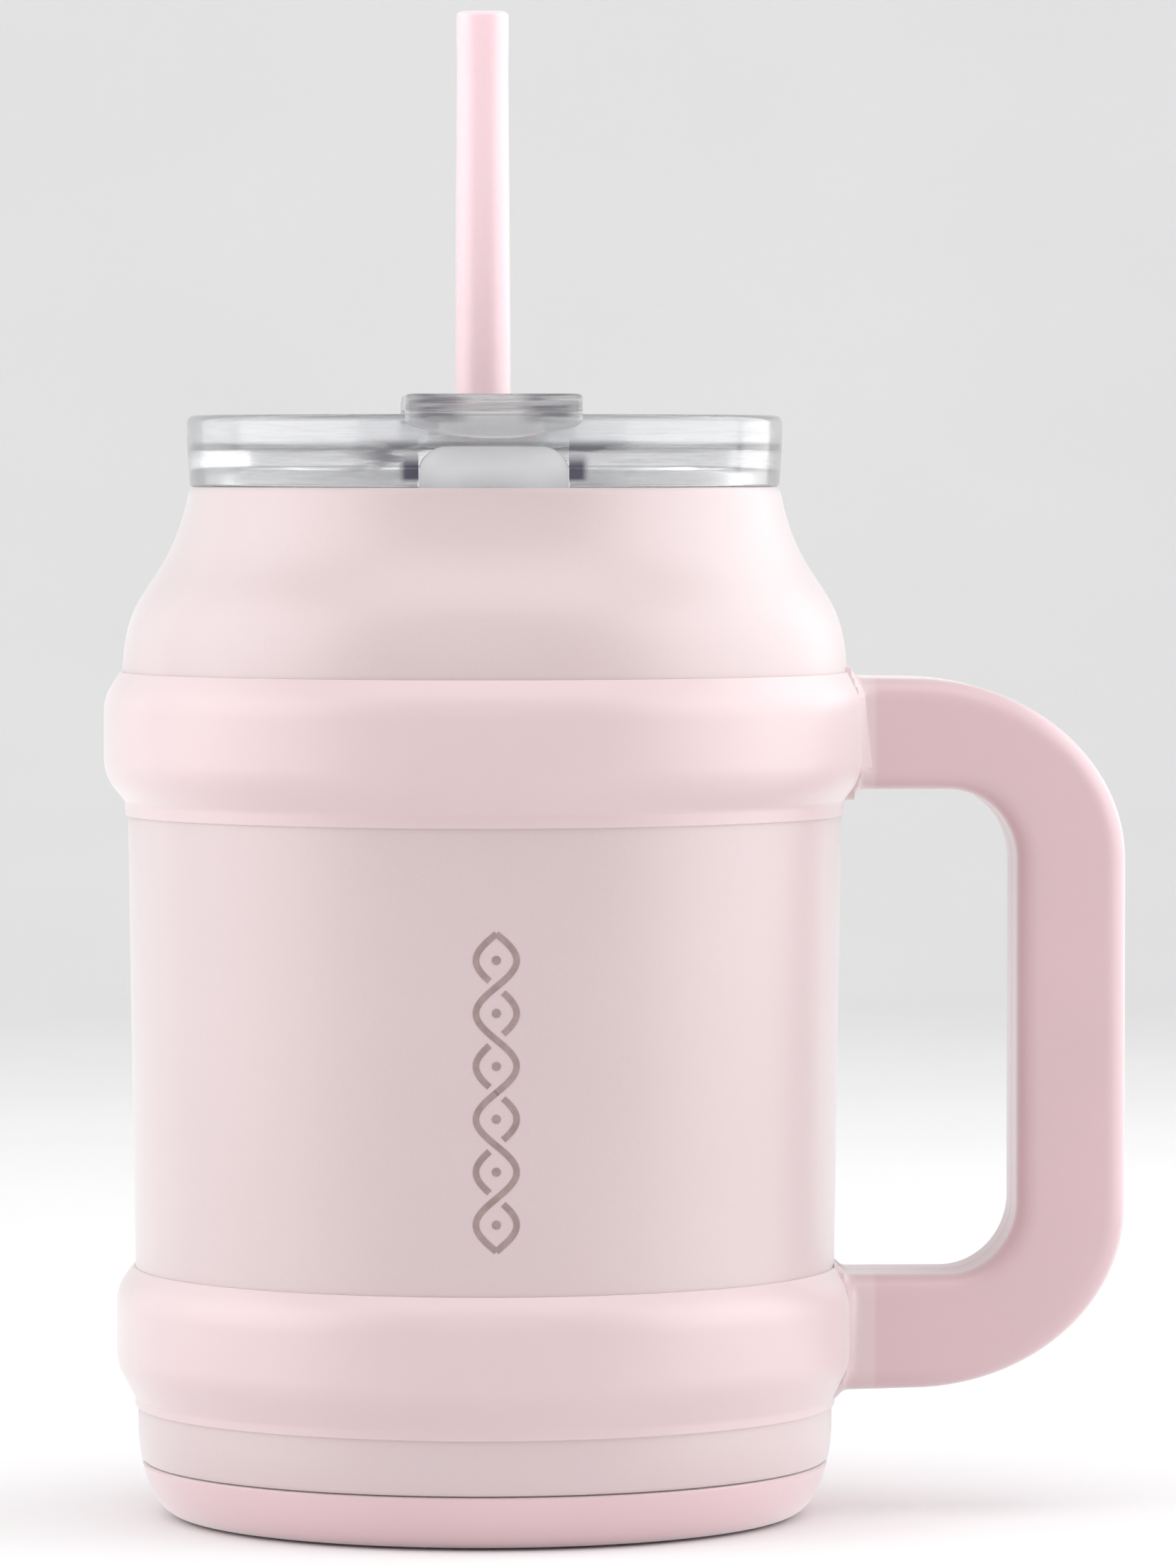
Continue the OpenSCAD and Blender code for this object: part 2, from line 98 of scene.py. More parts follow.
def corner(before, at, after, radius):
    """Points of the arc that rounds one corner of an outline."""
    p, q, s = (Vector(v[:2]) for v in (before, at, after))
    u, v = (p - q).normalized(), (s - q).normalized()
    half = u.angle(v) / 2
    centre = q + (u + v).normalized() * radius / math.sin(half)
    a = q + u * radius / math.tan(half) - centre
    b = q + v * radius / math.tan(half) - centre
    start = math.atan2(a.y, a.x)
    turn = math.atan2(a.x * b.y - a.y * b.x, a.dot(b))
    angles = [start + turn * i / ARC for i in range(ARC + 1)]
    return [centre + radius * Vector((math.cos(t), math.sin(t))) for t in angles]


def rounded(points):
    """A closed outline whose corners are (x, y) or, where they are rounded, (x, y, radius)."""
    out = []
    for i, q in enumerate(points):
        if len(q) == 2:
            out.append(Vector(q))
        else:
            out += corner(points[i - 1], q, points[(i + 1) % len(points)], q[2])
    return out


def bezier(a, b, c, d, steps):
    """Points of a cubic curve from a to d."""
    a, b, c, d = (Vector(v) for v in (a, b, c, d))
    return [(1 - t) ** 3 * a + 3 * (1 - t) ** 2 * t * b + 3 * (1 - t) * t * t * c + t ** 3 * d
            for t in (i / steps for i in range(steps + 1))]


def shoulder_line():
    """Radius and height from the rim down to the foot of the shoulder."""
    rim, foot, steps = Vector((NECK_R, RIM_Z)), Vector(SHOULDER), 48
    return bezier(rim, rim + Vector(NECK_PULL), foot + Vector(SHOULDER_PULL), foot, steps)


def base_curve(z):
    """Radius of the base's elliptical curve at a height."""
    drop = (BODY_FOOT[1] - z) / (BODY_FOOT[1] - cup_low.z)
    return CUP_FLAT_R + (BODY_FOOT[0] - CUP_FLAT_R) * math.sqrt(max(0.0, 1 - drop * drop))


def side_r(z):
    """Radius of the body's straight sides at a height."""
    top, foot = BODY_TOP, BODY_FOOT
    if z > top[1]:
        top, foot = SHOULDER, BODY_TOP
    return foot[0] + (top[0] - foot[0]) * (z - foot[1]) / (top[1] - foot[1])


# ---------------------------------------------------------------- mesh makers

def finish_mesh(name, bm, sharp=35.0):
    """Turns millimetres into metres, faces outward, smooth except at sharp edges."""
    bmesh.ops.remove_doubles(bm, verts=bm.verts, dist=1e-4)
    bmesh.ops.recalc_face_normals(bm, faces=bm.faces)
    bmesh.ops.scale(bm, vec=(MM, MM, MM), verts=bm.verts)
    mesh = bpy.data.meshes.new(name)
    bm.to_mesh(mesh)
    bm.free()
    mesh.polygons.foreach_set("use_smooth", [True] * len(mesh.polygons))
    mesh.set_sharp_from_angle(angle=math.radians(sharp))
    piece = bpy.data.objects.new(name, mesh)
    bpy.context.scene.collection.objects.link(piece)
    return piece


def ring_points(radius, count, centre=(0.0, 0.0)):
    """Points round a circle, as pairs."""
    turns = (2 * math.pi * i / count for i in range(count))
    return [(centre[0] + radius * math.cos(a), centre[1] + radius * math.sin(a)) for a in turns]


def lathe(name, outline, centre=(0.0, 0.0), segments=TURN):
    """Turns a closed outline of (radius, height) about a vertical axis."""
    bm = bmesh.new()
    rings = []
    for r, z in outline:
        around = ring_points(r, segments, centre) if r > 1e-6 else [centre]
        rings.append([bm.verts.new((x, y, z)) for x, y in around])
    for one, two in zip(rings, rings[1:] + rings[:1]):
        if len(one) == 1 and len(two) == 1:
            continue
        for i in range(segments):
            j = (i + 1) % segments
            face = [one[i % len(one)], one[j % len(one)], two[j % len(two)], two[i % len(two)]]
            bm.faces.new(list(dict.fromkeys(face)))
    return finish_mesh(name, bm)


def add_loft(bm, rings):
    """Skins rings of points, each a closed loop, and caps the two ends."""
    loops = [[bm.verts.new(p) for p in ring] for ring in rings]
    for one, two in zip(loops, loops[1:]):
        for i in range(len(one)):
            j = (i + 1) % len(one)
            bm.faces.new((one[i], one[j], two[j], two[i]))
    bm.faces.new(loops[0])
    bm.faces.new(loops[-1])


def place(piece, body, slot, material, *nodes):
    """Gives a piece its material and body, and hides the CAD nodes that it stands for; slot is not used."""
    piece.data.materials.clear()
    piece.data.materials.append(material)
    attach(piece, body)
    if nodes:
        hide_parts(*nodes)


# ---------------------------------------------------------------- materials

def new_material(name, colour, roughness, **sockets):
    """A Principled material; returns it, its shader and a maker of linked nodes."""
    material = bpy.data.materials.new(name)
    material.use_nodes = True
    tree = material.node_tree
    shader = tree.nodes["Principled BSDF"]
    shader.inputs["Base Color"].default_value = (*colour, 1.0)
    shader.inputs["Roughness"].default_value = roughness
    for socket, value in sockets.items():
        shader.inputs[socket.replace("_", " ")].default_value = value

    def add(kind, links=None, **settings):
        node = tree.nodes.new(kind)
        for key, value in settings.items():
            if hasattr(node, key):
                setattr(node, key, value)
            else:
                node.inputs[key.replace("_", " ")].default_value = value
        for socket, source in (links or {}).items():
            tree.links.new(source, node.inputs[socket])
        return node

    return material, shader, add, tree.links.new


def stretched_noise(add, scale, stretch=(1, 1, 1), detail=3.0):
    """Noise in the object's own coordinates, finer along an axis with a larger stretch."""
    at = add("ShaderNodeTexCoord").outputs["Object"]
    mapping = add("ShaderNodeMapping", {"Vector": at}, Scale=stretch)
    noise = add("ShaderNodeTexNoise", {"Vector": mapping.outputs["Vector"]},
                Scale=scale, Detail=detail)
    return noise.outputs["Fac"]


def ramp_between(add, source, low, high, start=0.3, end=0.7):
    """A value turned into a colour: low at start, high at end."""
    node = add("ShaderNodeValToRGB", {"Fac": source})
    for element, at, colour in zip(node.color_ramp.elements, (start, end), (low, high)):
        element.position, element.color = at, (*colour, 1.0)
    return node.outputs["Color"]


def value_between(add, source, low, high):
    """A value from 0 to 1 turned into one from low to high."""
    node = add("ShaderNodeMapRange", {"Value": source}, To_Min=low, To_Max=high)
    return node.outputs["Result"]


def fade(add, value, nought, one):
    """0 where a value is at the first limit, changing smoothly to 1 at the second."""
    return add("ShaderNodeMapRange", {"Value": value}, interpolation_type="SMOOTHSTEP",
               From_Min=nought, From_Max=one).outputs["Result"]


def calculated(add, operation, *values):
    """A sum, product or other function of one or two sockets."""
    return add("ShaderNodeMath", dict(enumerate(values)), operation=operation).outputs[0]


def product(add, *values):
    """Several sockets multiplied together."""
    out = values[0]
    for value in values[1:]:
        out = calculated(add, "MULTIPLY", out, value)
    return out


def within(add, value, low=-1.0, high=1.0):
    """1 where a value lies between two limits in metres, else 0."""
    above = add("ShaderNodeMath", {0: value}, operation="GREATER_THAN")
    above.inputs[1].default_value = low
    below = add("ShaderNodeMath", {0: value}, operation="LESS_THAN")
    below.inputs[1].default_value = high
    return product(add, above.outputs[0], below.outputs[0])


def mixed_value(add, share, base, other):
    """A linked value where share is 0, another where it is 1."""
    return add("ShaderNodeMapRange", {"Value": share, "To Min": base},
               To_Max=other).outputs["Result"]


def object_axes(add):
    """The three object coordinates, each as a socket."""
    at = add("ShaderNodeTexCoord").outputs["Object"]
    parts = add("ShaderNodeSeparateXYZ", {"Vector": at})
    return [parts.outputs[axis] for axis in "XYZ"]


def bumped(add, link, shader, height, strength, depth_mm):
    """Gives a shader fine relief, depth_mm deep."""
    bump = add("ShaderNodeBump", {"Height": height}, Strength=strength, Distance=depth_mm * MM)
    link(bump.outputs["Normal"], shader.inputs["Normal"])


def tint(colour, factor):
    """A colour made lighter or darker."""
    return tuple(min(1.0, c * factor) for c in colour)


PEARL = (0.575, 0.445, 0.455)
BAND_PINK = (0.63, 0.468, 0.485)
HANDLE_PINK = (0.60, 0.40, 0.43)
CUP_PINK = (0.66, 0.45, 0.48)
PAD_PINK = (0.66, 0.45, 0.47)
STRAW_PINK = (0.90, 0.62, 0.67)

# Both the coat and the plastic turn pale at grazing angles
SATIN = dict(Sheen_Weight=0.9, Sheen_Roughness=0.4, Coat_Weight=1.0, Coat_Roughness=0.5,
             Coat_IOR=1.9)

# A colour mix node's sockets by number, because its other kinds have the same names
MIX_SHARE, MIX_ONE, MIX_TWO, MIX_RESULT = 0, 6, 7, 2


def pearl_coat():
    """Satin powder coat with a pearl sheen and a fine orange peel."""
    material, shader, add, link = new_material("pearl_coat", PEARL, 0.34, **SATIN)
    cloud = stretched_noise(add, 22.0, detail=2.0)
    fleck = stretched_noise(add, 5200.0, detail=1.0)
    clouded = ramp_between(add, cloud, tint(PEARL, 0.985), tint(PEARL, 1.015))
    flecked = ramp_between(add, fleck, (0.965,) * 3, (1.0,) * 3, 0.35, 0.6)
    mix = add("ShaderNodeMix", {MIX_ONE: clouded, MIX_TWO: flecked}, data_type="RGBA",
              blend_type="MULTIPLY")
    mix.inputs[MIX_SHARE].default_value = 1.0
    link(mix.outputs[MIX_RESULT], shader.inputs["Base Color"])
    peel = stretched_noise(add, 900.0, detail=2.0)
    link(value_between(add, peel, 0.30, 0.40), shader.inputs["Roughness"])
    bumped(add, link, shader, peel, 0.10, 0.05)
    return material


def moulded(name, colour, roughness=0.38, grain=0.12, subsurface=0.0, root=None):
    """Satin moulded plastic with a spark-eroded grain; root is its colour next to the bands."""
    root_end, root_start = 65.6 * MM, 64.6 * MM
    material, shader, add, link = new_material(name, colour, roughness, Subsurface_Scale=0.002,
                                               Subsurface_Weight=subsurface, **SATIN)
    cloud = stretched_noise(add, 30.0, detail=2.0)
    tone = ramp_between(add, cloud, tint(colour, 0.975), tint(colour, 1.02))
    if root:
        near = fade(add, object_axes(add)[0], root_end, root_start)
        mix = add("ShaderNodeMix", {MIX_SHARE: near, MIX_ONE: tone}, data_type="RGBA")
        mix.inputs[MIX_TWO].default_value = (*root, 1.0)
        tone = mix.outputs[MIX_RESULT]
    link(tone, shader.inputs["Base Color"])
    skin = stretched_noise(add, 2600.0, detail=2.0)
    link(value_between(add, skin, roughness - 0.05, roughness + 0.07), shader.inputs["Roughness"])
    bumped(add, link, shader, skin, grain, 0.03)
    return material


def clear_base(name, colour):
    """Clear copolyester: returns what new_material does, its flow marks and their roughness."""
    material, shader, add, link = new_material(name, colour, 0.1, Transmission_Weight=0.9, IOR=1.5)
    flow = stretched_noise(add, 34.0, (1, 1, 9.0))
    bumped(add, link, shader, flow, 0.35, 0.4)
    return material, shader, add, link, flow, value_between(add, flow, 0.02, 0.28)


def clear_plastic():
    """The plain clear plastic."""
    material, shader, add, link, flow, gloss = clear_base("clear_plastic", (0.98, 0.982, 0.99))
    link(gloss, shader.inputs["Roughness"])
    link(value_between(add, flow, 1.0, 0.78), shader.inputs["Transmission Weight"])
    return material


def tab_plastic():
    """Clear plastic with painted shade: darker streaks on either side of the tab's middle."""
    clear, painted_shadow_tint = (0.95, 0.952, 0.96), (0.32, 0.32, 0.35)
    material, shader, add, link, flow, gloss = clear_base("tab_plastic", clear)
    x, _, z = object_axes(add)
    aside = calculated(add, "ABSOLUTE", x)
    smear = stretched_noise(add, 60.0, (1, 1, 14.0), detail=2.0)
    # Painted shade: dark streaks either side of the middle, in place of dark refractions in the clear plate.
    shade_streak = product(add, fade(add, aside, 3.0 * MM, 7.5 * MM),
                     fade(add, aside, 14.2 * MM, 11.0 * MM),
                     fade(add, z, 182.0 * MM, 186.4 * MM), fade(add, smear, 0.36, 0.56))
    link(ramp_between(add, shade_streak, clear, painted_shadow_tint, 0.0, 1.0), shader.inputs["Base Color"])
    link(gloss, shader.inputs["Roughness"])
    link(value_between(add, flow, 0.95, 0.72), shader.inputs["Transmission Weight"])
    return material


def lid_plastic():
    """Clear plastic, frosted in the recess and on the skirt, with painted shade beside the recess and across
    the rim's front.
    """
    # The dark tint is painted shade, not a tint of the plastic.
    clear, painted_shadow_tint = (0.93, 0.935, 0.95), (0.05, 0.045, 0.075)
    frosted_gloss, frosted_clarity, dark_clarity, streak_depth = 0.5, 0.35, 0.4, 0.85
    recess_side, recess_top, wall_back, wall_front = 12.4 * MM, 179.8 * MM, -45.5 * MM, -48.2 * MM
    skirt_in, skirt_out, skirt_top, rim_in = 41.0 * MM, 45.5 * MM, 173.0 * MM, 46.0 * MM
    material, shader, add, link, flow, gloss = clear_base("lid_plastic", clear)
    x, y, z = object_axes(add)
    aside = calculated(add, "ABSOLUTE", x)
    flat = add("ShaderNodeCombineXYZ", {"X": x, "Y": y}).outputs["Vector"]
    radius = add("ShaderNodeVectorMath", {0: flat}, operation="LENGTH").outputs["Value"]
    skirt = product(add, within(add, radius, skirt_in, skirt_out), within(add, z, high=skirt_top))
    recess = product(add, within(add, aside, high=recess_side),
                     within(add, y, wall_front, wall_back), within(add, z, high=recess_top))
    frost = calculated(add, "MAXIMUM", skirt, recess)
    # Painted shade: dark corners at both sides of the recess, where the clear rim shows shade.
    beside = product(add, within(add, aside, low=12.25 * MM), within(add, y, high=0.0),
                     within(add, radius, low=rim_in))
    corner_shade = product(add, beside, fade(add, aside, 16.4 * MM, 14.2 * MM),
                    fade(add, z, 180.2 * MM, 176.4 * MM), fade(add, z, 173.4 * MM, 174.6 * MM))
    # Painted shade: dark, noisy streaks across the rim's front, in place of dark refractions in the clear
    # plastic.
    smear = stretched_noise(add, 75.0, (1, 1, 6.0), detail=2.5)
    shade_streak = product(add, beside, fade(add, aside, 31.0 * MM, 17.0 * MM),
                     fade(add, z, 181.4 * MM, 179.4 * MM), fade(add, z, 174.0 * MM, 175.6 * MM),
                     fade(add, smear, 0.40, 0.60))
    painted_shade_mask = calculated(add, "MAXIMUM", corner_shade, value_between(add, shade_streak, 0.0, streak_depth))
    link(ramp_between(add, painted_shade_mask, clear, painted_shadow_tint, 0.0, 1.0), shader.inputs["Base Color"])
    link(mixed_value(add, frost, gloss, frosted_gloss), shader.inputs["Roughness"])
    clarity = mixed_value(add, frost, value_between(add, flow, 1.0, 0.78), frosted_clarity)
    link(mixed_value(add, painted_shade_mask, clarity, dark_clarity), shader.inputs["Transmission Weight"])
    return material


def silicone():
    """Milky silicone rubber, with the dull skin that it has from the mould."""
    colour = (0.95, 0.95, 0.965)
    material, shader, add, link = new_material("clear_silicone", colour, 0.42, IOR=1.41,
                                               Transmission_Weight=0.35, Subsurface_Weight=0.5,
                                               Subsurface_Scale=0.003)
    cloud = stretched_noise(add, 90.0, detail=2.0)
    tone = ramp_between(add, cloud, tint(colour, 0.96), tint(colour, 1.03))
    link(tone, shader.inputs["Base Color"])
    skin = stretched_noise(add, 1800.0)
    bumped(add, link, shader, skin, 0.1, 0.04)
    return material


def brushed_steel():
    """Stainless steel spun on its axis, so the fine marks run round it."""
    colour = (0.74, 0.74, 0.75)
    material, shader, add, link = new_material("bare_steel", colour, 0.3, Metallic=1.0)
    marks = stretched_noise(add, 26.0, (1, 1, 120.0), detail=4.0)
    tone = ramp_between(add, marks, tint(colour, 0.85), tint(colour, 1.12))
    link(tone, shader.inputs["Base Color"])
    link(value_between(add, marks, 0.22, 0.42), shader.inputs["Roughness"])
    bumped(add, link, shader, marks, 0.15, 0.02)
    return material


def polished_steel():
    """Drawn pin stock, polished, with faint marks along it."""
    colour = (0.66, 0.66, 0.68)
    material, shader, add, link = new_material("pin_steel", colour, 0.16, Metallic=1.0)
    marks = stretched_noise(add, 300.0, (0.2, 1, 1))
    link(value_between(add, marks, 0.1, 0.26), shader.inputs["Roughness"])
    tone = ramp_between(add, marks, tint(colour, 0.9), tint(colour, 1.05))
    link(tone, shader.inputs["Base Color"])
    return material


def copper_foil():
    """Thin copper foil, creased where it was wrapped."""
    colour = (0.80, 0.46, 0.30)
    material, shader, add, link = new_material("copper_foil", colour, 0.25, Metallic=1.0)
    crease = stretched_noise(add, 160.0, (1, 1, 0.5), detail=5.0)
    tone = ramp_between(add, crease, tint(colour, 0.85), tint(colour, 1.1))
    link(tone, shader.inputs["Base Color"])
    link(value_between(add, crease, 0.15, 0.4), shader.inputs["Roughness"])
    bumped(add, link, shader, crease, 0.5, 0.2)
    return material


def sintered_metal():
    """Dull pressed getter powder."""
    colour = (0.20, 0.20, 0.21)
    material, shader, add, link = new_material("getter_metal", colour, 0.7, Metallic=0.7)
    grain = stretched_noise(add, 1500.0, detail=5.0)
    tone = ramp_between(add, grain, tint(colour, 0.7), tint(colour, 1.4))
    link(tone, shader.inputs["Base Color"])
    bumped(add, link, shader, grain, 0.5, 0.1)
    return material


def seal_glass():
    """Dark glass frit, melted over the evacuation hole."""
    colour = (0.10, 0.10, 0.12)
    material, shader, add, link = new_material("seal_glass", colour, 0.12, Transmission_Weight=0.2)
    swirl = stretched_noise(add, 400.0, detail=3.0)
    tone = ramp_between(add, swirl, tint(colour, 0.7), tint(colour, 1.6))
    link(tone, shader.inputs["Base Color"])
    bumped(add, link, shader, swirl, 0.3, 0.1)
    return material


def pad_print():
    """Taupe pad print, with the slight unevenness of its ink."""
    colour = (0.31, 0.225, 0.22)
    material, shader, add, link = new_material("taupe_print", colour, 0.5)
    ink = stretched_noise(add, 700.0, detail=4.0)
    tone = ramp_between(add, ink, tint(colour, 0.88), tint(colour, 1.15))
    link(tone, shader.inputs["Base Color"])
    bumped(add, link, shader, ink, 0.15, 0.02)
    return material


def studio_paper():
    """Pale seamless paper for the floor and the backdrop, seen only from its front."""
    colour = (0.86, 0.86, 0.862)
    material, shader, add, link = new_material("studio_paper", colour, 0.85)
    fibre = stretched_noise(add, 8.0, detail=6.0)
    tone = ramp_between(add, fibre, tint(colour, 0.99), tint(colour, 1.01))
    link(tone, shader.inputs["Base Color"])
    behind = add("ShaderNodeNewGeometry").outputs["Backfacing"]
    unseen = add("ShaderNodeBsdfTransparent").outputs[0]
    paper = add("ShaderNodeMixShader", {0: behind, 1: shader.outputs[0], 2: unseen})
    link(paper.outputs[0], material.node_tree.nodes["Material Output"].inputs["Surface"])
    return material


look = {
    "pearl": pearl_coat(),
    "steel": brushed_steel(),
    "foil": copper_foil(),
    "getter": sintered_metal(),
    "bead": seal_glass(),
    "cup": moulded("cup_plastic", CUP_PINK, 0.42),
    "foot": moulded("pink_silicone", PAD_PINK, 0.62, 0.2),
    "band": moulded("band_plastic", BAND_PINK, 0.36),
    "handle": moulded("handle_plastic", HANDLE_PINK, 0.38, root=BAND_PINK),
    "pin": polished_steel(),
    "clear": clear_plastic(),
    "tab": tab_plastic(),
    "lid": lid_plastic(),
    "silicone": silicone(),
    "straw": moulded("straw_plastic", STRAW_PINK, 0.3, 0.05, subsurface=0.4),
    "print": pad_print(),
    "paper": studio_paper(),
}


# ---------------------------------------------------------------- vessel

def shell_outline():
    """Outside and inside of the outer shell, down to its seat in the base cup."""
    rim_edge, seam_in, seam_up, cuff_steps = 0.25, 0.35, 0.3, 10
    skin = shoulder_line() + [Vector(BODY_TOP)]
    for i in range(cuff_steps + 1):
        z = BODY_FOOT[1] + (SEAM_Z - BODY_FOOT[1]) * i / cuff_steps
        skin.append(Vector((base_curve(z), z)))
    skin[0] = skin[0] - Vector((rim_edge, 0))
    skin.insert(1, Vector((NECK_R, RIM_Z - rim_edge)))
    skin[-1].y += seam_up
    skin.append(Vector((skin[-1].x - seam_in, SEAM_Z)))
    inside = [p - Vector((STEEL, 0)) for p in skin if p.y > SEAM_Z + STEEL]
    bottom, hold = shell_low.z, SEAT_R - STEEL
    foot = [Vector((SEAT_R, SEAM_Z))]
    foot += corner((SEAT_R, SEAM_Z), (SEAT_R, bottom), (0, bottom), SEAT_BEND)
    foot += [Vector((DISC_R, bottom)), Vector((DISC_R, bottom + STEEL))]
    foot += corner((0, bottom + STEEL), (hold, bottom + STEEL), (hold, SEAM_Z), SEAT_BEND - STEEL)
    foot.append(Vector((hold, SEAM_Z + STEEL)))
    return skin + foot + inside[::-1]


def vessel_outline():
    """The inner wall: a rolled lip, a straight mouth, the shoulder, the sides, the floor's edge."""
    depth, mouth, floor_bend = 4.0, 46.2, 9.0
    roll, under = NECK_R - STEEL - SNUG, RIM_Z - 1.1

    def wall(inset, floor_at, bend):
        side, top = side_r(floor_at) - inset, BODY_TOP[0] - inset
        line = [p - Vector((inset, 0)) for p in shoulder_line() if p.x - depth > mouth]
        line.append(Vector((top, BODY_TOP[1])))
        line += corner((top, BODY_TOP[1]), (side, floor_at), (0, floor_at), bend)
        line.append(Vector((DISC_R, floor_at)))
        return line

    inside = wall(depth, floor_high.z, floor_bend)
    outside = wall(depth - STEEL, floor_low.z, floor_bend + STEEL)
    lip = rounded([(mouth, RIM_Z - 4), (mouth, RIM_Z, 0.55), (roll, RIM_Z, 0.5),
                   (roll, under, 0.2), (mouth + STEEL, under), (mouth + STEEL, RIM_Z - 4)])
    start = next(i for i, p in enumerate(lip) if p.y > RIM_Z - 1)
    loop = lip[start:-1]
    return loop + outside + inside[::-1]


place(lathe("shell_skin", shell_outline()), "mug", "pearl_coat", look["pearl"], "outer_shell")
place(lathe("vessel_liner", vessel_outline()), "mug", "bare_steel", look["steel"], "inner_vessel")


# ---------------------------------------------------------------- base cup and its pad

def cup_outline():
    """Base cup: the body's curve carried down to a flat underside, recessed for the pad."""
    hold, floor_top = SEAT_R + SNUG, shell_low.z - SNUG
    recess, ceiling = pad_high.y + SNUG, pad_high.z + SNUG
    low, top, edge, steps = cup_low.z, cup_high.z, 0.35, 40
    heights = [low + (top - edge - low) * (i / steps) ** 2 for i in range(steps + 1)]
    return (rounded([(0, ceiling), (recess, ceiling), (recess, low, 0.15)])
            + [Vector((base_curve(z), z)) for z in heights]
            + [Vector((base_curve(top) - edge, top)), Vector((hold, top))]
            + corner((hold, top), (hold, floor_top), (0, floor_top), SEAT_BEND + SNUG)
            + [Vector((0.0, floor_top))])


def pad_outline():
    """Anti-slip pad with ring grooves in its sole."""
    top, outer = pad_high.z, pad_high.y
    grooves, pitch, deep, half, slope = 5, 4.2, 0.35, 0.45, 0.15
    sole = []
    for i in range(grooves, 0, -1):
        r = outer - pitch * i
        sole += [(r - half, 0.0), (r - half + slope, deep),
                 (r + half - slope, deep), (r + half, 0.0)]
    return rounded([(0.0, top), (0.0, 0.0)] + sole + [(outer, 0.0, 0.25), (outer, top)])


place(lathe("base_boot", cup_outline()), "mug", "cup_plastic", look["cup"], "base_cup")
place(lathe("grip_pad", pad_outline()), "mug", "pink_silicone", look["foot"], "foot_pad")


# ---------------------------------------------------------------- bands

def band_corners(r, low, high, foot, low_flank, high_flank):
    """A band's section: a thin foot on the body, the lower flank, the face and the upper flank."""
    edge, bend = 0.45, 8.0
    return [(side_r(high) + SNUG, high), (side_r(low) + SNUG, low),
            (side_r(low) + edge, low, 0.18), (side_r(low + foot) + edge, low + foot, 1.6),
            (r, low + low_flank, bend), (r, high - high_flank, bend),
            (side_r(high) + edge, high, 0.18)]


UPPER_BAND = band_corners(upper_high.y, upper_low.z, upper_high.z, 2.4, 6.6, 4.3)
LOWER_BAND = band_corners(-lower_low.y, lower_low.z, lower_high.z, 1.6, 7.2, 3.6)

place(lathe("upper_belt", rounded(UPPER_BAND)), "mug", "band_plastic", look["band"], "upper_band")
place(lathe("lower_belt", rounded(LOWER_BAND)), "mug", "band_plastic", look["band"], "lower_band")


def band_radius(corners, z):
    """Outside radius of a band at a height, or of the body beyond it."""
    line = rounded(corners)[2:]
    for p, q in zip(line, line[1:]):
        if p.y <= z <= q.y and q.y > p.y:
            return p.x + (q.x - p.x) * (z - p.y) / (q.y - p.y)
    return side_r(z)


# ---------------------------------------------------------------- handle

HANDLE_OUT = handle_high.x              # outside of the grip
HANDLE_IN = 89.05                       # inside of the grip
HALF_W = -handle_low.y                  # half the handle's width
OUTER_TOP, OUTER_BOTTOM = 141.0, 21.6   # outside of the arms
INNER_TOP, INNER_BOTTOM = 122.35, 40.85
OUTER_BEND = (36.0, 30.5)               # half axes of the outside's corners
INNER_BEND = (11.6, 12.1)
BURIED_X = 59.0                         # about where the arms end, inside the bands
EDGE = 3.8                              # rounding of the long edges
BLEND = 1.8                             # concave blend where an arm meets its band
MID_Z = 80.0                            # a height between the two arms


def handle_stations():
    """Pairs of points, outside and inside of the loop, from the upper arm to the lower one."""
    arm_fractions = [0, 0.05, 0.08, 0.11, 0.14, 0.17, 0.2, 0.23, 0.27, 0.32, 0.4, 0.5, 0.65, 0.8]
    ends = [(OUTER_TOP, INNER_TOP), (OUTER_BOTTOM, INNER_BOTTOM)]
    bend_steps, grip_steps = 28, 12
    bend_x = (HANDLE_OUT - OUTER_BEND[0], HANDLE_IN - INNER_BEND[0])
    arms = []
    for z_out, z_in in ends:
        slope = 0.2 if z_out > z_in else -0.3       # widens each arm towards the body
        arms.append([(Vector((BURIED_X + (bend_x[0] - BURIED_X) * f, z_out + slope * (1 - f))),
                      Vector((BURIED_X + (bend_x[1] - BURIED_X) * f, z_in))) for f in arm_fractions])

    def bend(sign, z_out, z_in):
        """Quarter turn from the arm, at 90 degrees, to the grip."""
        pairs = []
        for i in range(bend_steps + 1):
            a = math.pi / 2 * (1 - i / bend_steps)
            pairs.append((Vector((bend_x[0] + OUTER_BEND[0] * math.cos(a),
                                  z_out - sign * OUTER_BEND[1] * (1 - math.sin(a)))),
                          Vector((bend_x[1] + INNER_BEND[0] * math.cos(a),
                                  z_in - sign * INNER_BEND[1] * (1 - math.sin(a))))))
        return pairs

    top, bottom = bend(1, OUTER_TOP, INNER_TOP), bend(-1, OUTER_BOTTOM, INNER_BOTTOM)
    grip = [[p.lerp(q, i / grip_steps) for p, q in zip(top[-1], bottom[-1])]
            for i in range(1, grip_steps)]
    return arms[0] + top + grip + bottom[::-1] + arms[1][::-1]


def half_section(thick):
    """Half the handle's section as (across, outward): rounded edges, a fine parting groove."""
    half, lip = thick / 2, 0.16
    return rounded([(lip / 4, -half + lip), (lip, -half), (HALF_W, -half, EDGE),
                    (HALF_W, half, EDGE), (lip, half), (lip / 4, half - lip)])


def arm_gap(point, corners):
    """How far a point on an arm stands outside its band."""
    return math.hypot(point.x, point.y) - band_radius(corners, point.z)


